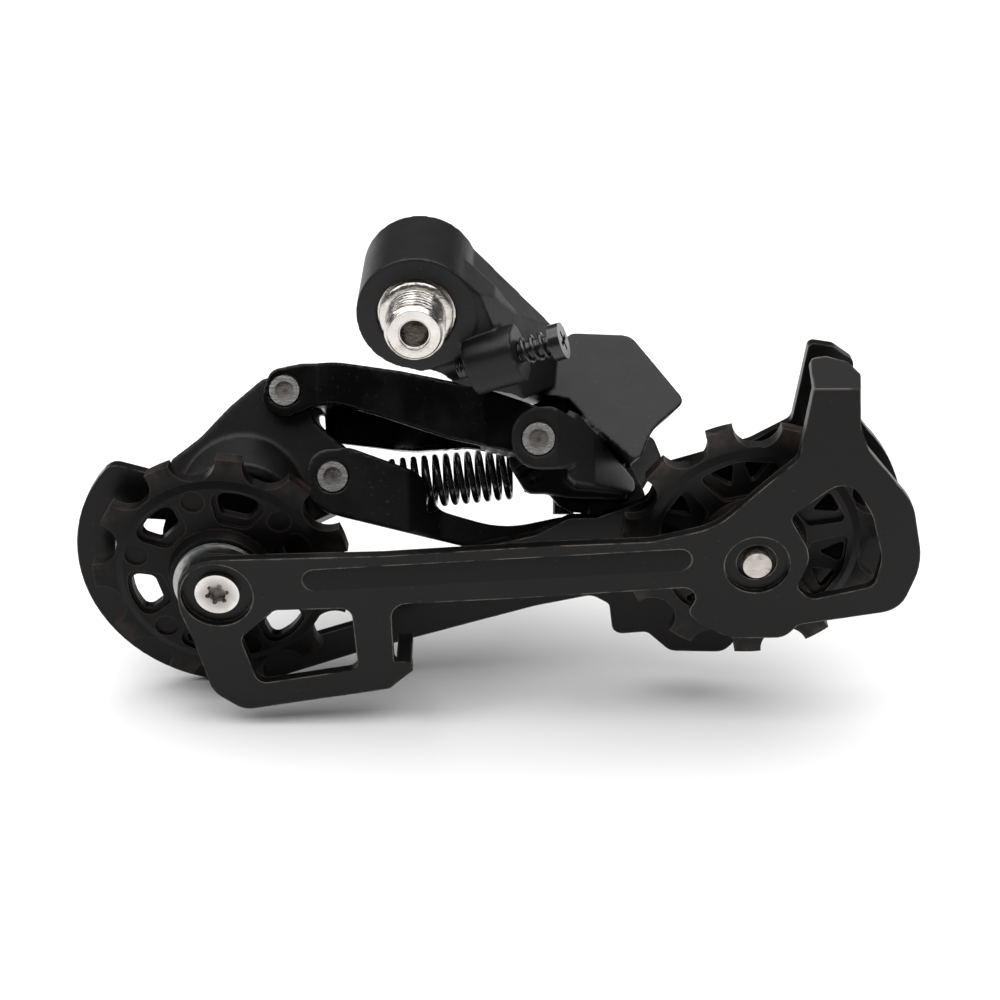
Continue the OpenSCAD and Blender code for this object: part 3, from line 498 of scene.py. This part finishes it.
def thread(name, radius, depth, pitch, length, place, bore=0.0, sides=72, steps=10, fade=0.6):
    """Helical thread along +X of the given placement, with its crests fading out at the free end."""
    rings = []
    count = int(length / pitch * steps)
    if bore:
        rings.append([(0.0, bore, k) for k in range(sides)])
    for i in range(count + 1):
        x = length * i / count
        ring = []
        for k in range(sides):
            turn = (x / pitch + k / sides) % 1
            wave = 1 - abs(2 * turn - 1)
            crest = min(1.0, max(0.0, (wave - 0.12) / 0.62))
            ends = min(1.0, x / (fade * pitch), (length - x) / (0.2 * pitch) + 0.3)
            ring.append((x, radius - depth * (1 - crest * ends), k))
        rings.append(ring)
    if bore:
        rings.append([(length, bore, k) for k in range(sides)])
    placed = [[place @ Vector((x, r * math.cos(2 * math.pi * k / sides), r * math.sin(2 * math.pi * k / sides)))
               for x, r, k in ring] for ring in rings]
    return loft(name, placed, closed=bool(bore), cap=not bore)


# ---------------------------------------------------------------- hanger bolt


def hanger_bolt():
    """Threaded front end with a chamfered nose, a plain shoulder, and a head with a hexagon socket behind."""
    low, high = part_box("mount_bolt")
    nose = low[1]
    shoulder = SHOULDER_Y
    turn = Matrix.Translation((0, nose + 0.0003, 0)) @ Matrix.Rotation(math.radians(90), 4, "Z")
    ridges = thread("hanger_bolt_thread", BOLT_THREAD_R, 0.00055, BOLT_PITCH, shoulder - nose - 0.0003, turn,
                    0.00235)
    screw = new_piece("hanger_bolt_thread", ridges, nickel, "hanger_bolt")
    sides = 96
    head = high[1]
    face = head - 0.0036
    profile = [
        (0.00236, nose + 0.0006), (0.00262, nose + 0.0001), (0.0030, nose), (0.0042, nose),
        (0.00445, nose + 0.0003), (0.00445, shoulder - 0.0002), (0.0052, shoulder - 0.0001),
        (0.00585, shoulder), (0.00614, shoulder + 0.0003),
        (0.00614, 0.0009), (0.0054, 0.00095), (0.0054, 0.00205), (0.00614, 0.0021), (0.00614, face),
        (0.0077, face), (0.008, face + 0.0003), (0.008, head - 0.0008), (0.0074, head - 0.0001), (0.0068, head),
    ]
    rings = []
    for radius, y in profile:
        rings.append([Vector((radius * math.cos(a), y, radius * math.sin(a)))
                      for a in (2 * math.pi * k / sides for k in range(sides))])
    flat = 0.0025

    def hexagon(reach, y):
        ring = []
        for k in range(sides):
            a = 2 * math.pi * k / sides
            off = (a + math.pi / 6) % (math.pi / 3) - math.pi / 6
            radius = reach / math.cos(off)
            ring.append(Vector((radius * math.cos(a), y, radius * math.sin(a))))
        return ring

    rings.append(hexagon(flat + 0.0003, head))
    rings.append(hexagon(flat, head - 0.0003))
    rings.append(hexagon(flat, head - 0.0032))
    rings.append([Vector((0.0004 * math.cos(a), head - 0.0037, 0.0004 * math.sin(a)))
                  for a in (2 * math.pi * k / sides for k in range(sides))])
    body = loft("hanger_bolt_body", rings, cap=False)
    core = new_piece("hanger_bolt_body", body, nickel, "hanger_bolt")
    bore_rings = []
    for radius, y in [(0.00236, nose + 0.0006), (0.00232, -0.002), (0.00232, 0.0028), (0.0004, 0.0036)]:
        bore_rings.append([Vector((radius * math.cos(a), y, radius * math.sin(a)))
                           for a in (2 * math.pi * k / sides for k in range(sides))])
    bore = new_piece("hanger_bolt_bore", loft("hanger_bolt_bore", bore_rings, cap=False), nickel,
                     "hanger_bolt")
    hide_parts("mount_bolt")
    for obj in (core, screw, bore):
        obj.data.shade_smooth()
        soften(obj, 0.00008, 2, 40)


hanger_bolt()


# ---------------------------------------------------------------- castings


cast("mounting_knuckle", "b_knuckle", 0.0003, 6)
cast("outer_knuckle", "p_knuckle", 0.0004, 6)
cast("upper_link_casting", "upper_link", 0.00035, 4)
cast("lower_link_casting", "lower_link", 0.00035, 4)


# ---------------------------------------------------------------- springs


def return_spring():
    """Coil between the lower link and the mounting knuckle, with a hook at each end."""
    start = Vector((-6.4, -26.2, -42.5))
    end = Vector((15.8, -24, -42.5))
    post_a = Vector((-9, -26.9, -42.5))
    post_b = Vector((19.9, -25.7, -42.5))
    turns, coil_r, wire_r = 11, 4.4, 0.6
    along = (end - start).normalized()
    side = Vector((-along.y, along.x, 0))
    per_turn = STEPS_PER_TURN
    path = []
    for k in range(10):
        a = math.radians(250 - 130 * k / 9)
        path.append(post_a + Vector((1.8 * math.cos(a), 1.8 * math.sin(a), 0)))
    for k in range(turns * per_turn + 1):
        a = math.radians(90 - 360 * k / per_turn)
        at = start + (end - start) * k / (turns * per_turn)
        path.append(at + side * (coil_r * math.sin(a)) + Vector((0, 0, coil_r * math.cos(a))))
    for k in range(14):
        a = math.radians(120 - 225 * k / 13)
        path.append(post_b + Vector((1.75 * math.cos(a), 1.75 * math.sin(a), 0)))
    points = [slanted(*p) for p in path]
    piece = new_piece("return_spring_wire", tube("return_spring_wire", points, wire_r * MM, 14), wire_black,
                      None)
    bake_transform(piece)
    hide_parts("return_spring")


return_spring()


def screw_frame():
    """Placement of the mounting knuckle's screw: +X along it, away from the boss."""
    seat = Vector((17.2, -1.4, -6.2)) * MM
    return (Matrix.Translation(seat) @ Matrix.Rotation(math.radians(-8), 4, "Z")
            @ Matrix.Rotation(math.radians(-20.5), 4, "Y"))


def knuckle_screw():
    """Coil and thread of the screw that sets the knuckle's angle."""
    place = screw_frame()
    path = []
    steps = COIL_TURNS * STEPS_PER_TURN
    for k in range(steps + 1):
        a = 2 * math.pi * k / STEPS_PER_TURN
        along = COIL_START + COIL_SPAN * k / steps
        path.append(place @ (Vector((along, COIL_R * math.cos(a), COIL_R * math.sin(a))) * MM))
    coil = new_piece("knuckle_screw_coil", tube("knuckle_screw_coil", path, COIL_WIRE_R * MM, 12), wire_black,
                     None)
    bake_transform(coil)
    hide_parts("b_screw_spring")
    new_piece(
        "knuckle_screw_thread",
        thread("knuckle_screw_thread", 0.00166, 0.00025, 0.0007, 0.0168,
               place @ Matrix.Translation((-0.0112, 0, 0)), sides=36, steps=8),
        screw_black, "b_tension_screw")


knuckle_screw()


# ---------------------------------------------------------------- floor, light, camera


def floor():
    mesh = bpy.data.meshes.new("floor")
    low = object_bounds()[0][2]
    half = 3.0
    mesh.from_pydata([(-half, -half, low), (half, -half, low), (half, half, low), (-half, half, low)], [],
                     [(0, 1, 2, 3)])
    obj = bpy.data.objects.new("floor", mesh)
    bpy.context.scene.collection.objects.link(obj)
    g = Graph("floor_paper", Specular_IOR_Level=0.2)
    soft = g.noise(3, 2)
    paint(obj, g.finish(g.mix(soft, grey(0.86, 0.002), grey(0.9, 0.002)), g.span(soft, 0.8, 0.9)))
    obj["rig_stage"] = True


def area_light(name, place, target, size, power, color=(1, 1, 1)):
    data = bpy.data.lights.new(name, "AREA")
    data.shape = "RECTANGLE"
    data.size, data.size_y = size
    data.energy = power
    data.color = color
    obj = bpy.data.objects.new(name, data)
    obj.location = place
    obj.rotation_euler = (Vector(target) - Vector(place)).to_track_quat("-Z", "Y").to_euler()
    bpy.context.scene.collection.objects.link(obj)


def studio():
    area_light("top_soft", (0.0, 0.1, 1.3), (0, 0, 0), (2.6, 2.2), 52)
    area_light("left_soft", (-1.0, -0.2, 0.8), (0, 0, 0), (0.5, 0.5), 3)
    world = bpy.data.worlds.new("studio")
    world.use_nodes = True
    world.node_tree.nodes["Background"].inputs["Color"].default_value = (0.95, 0.97, 1, 1)
    world.node_tree.nodes["Background"].inputs["Strength"].default_value = 0.08
    bpy.context.scene.world = world
    bpy.context.scene.view_settings.view_transform = "Standard"


def camera():
    """Seen from the wheel's side, 30 degrees above level."""
    elevation, azimuth, roll = (math.radians(a) for a in (29.96, 0.5, -0.35))
    back = Vector((math.sin(azimuth) * math.cos(elevation), -math.cos(azimuth) * math.cos(elevation),
                   math.sin(elevation)))
    right = Vector((0, 0, 1)).cross(back).normalized()
    up = back.cross(right)
    right, up = (right * math.cos(roll) + up * math.sin(roll), up * math.cos(roll) - right * math.sin(roll))
    data = bpy.data.cameras.new("camera")
    data.sensor_width = 36
    data.lens = 67.08
    data.clip_start = 0.01
    obj = bpy.data.objects.new("camera", data)
    obj.matrix_world = Matrix((
        (right.x, up.x, back.x, 0.01612),
        (right.y, up.y, back.y, -0.28224),
        (right.z, up.z, back.z, 0.12739),
        (0, 0, 0, 1),
    ))
    bpy.context.scene.collection.objects.link(obj)
    bpy.context.scene.camera = obj


floor()
studio()
camera()
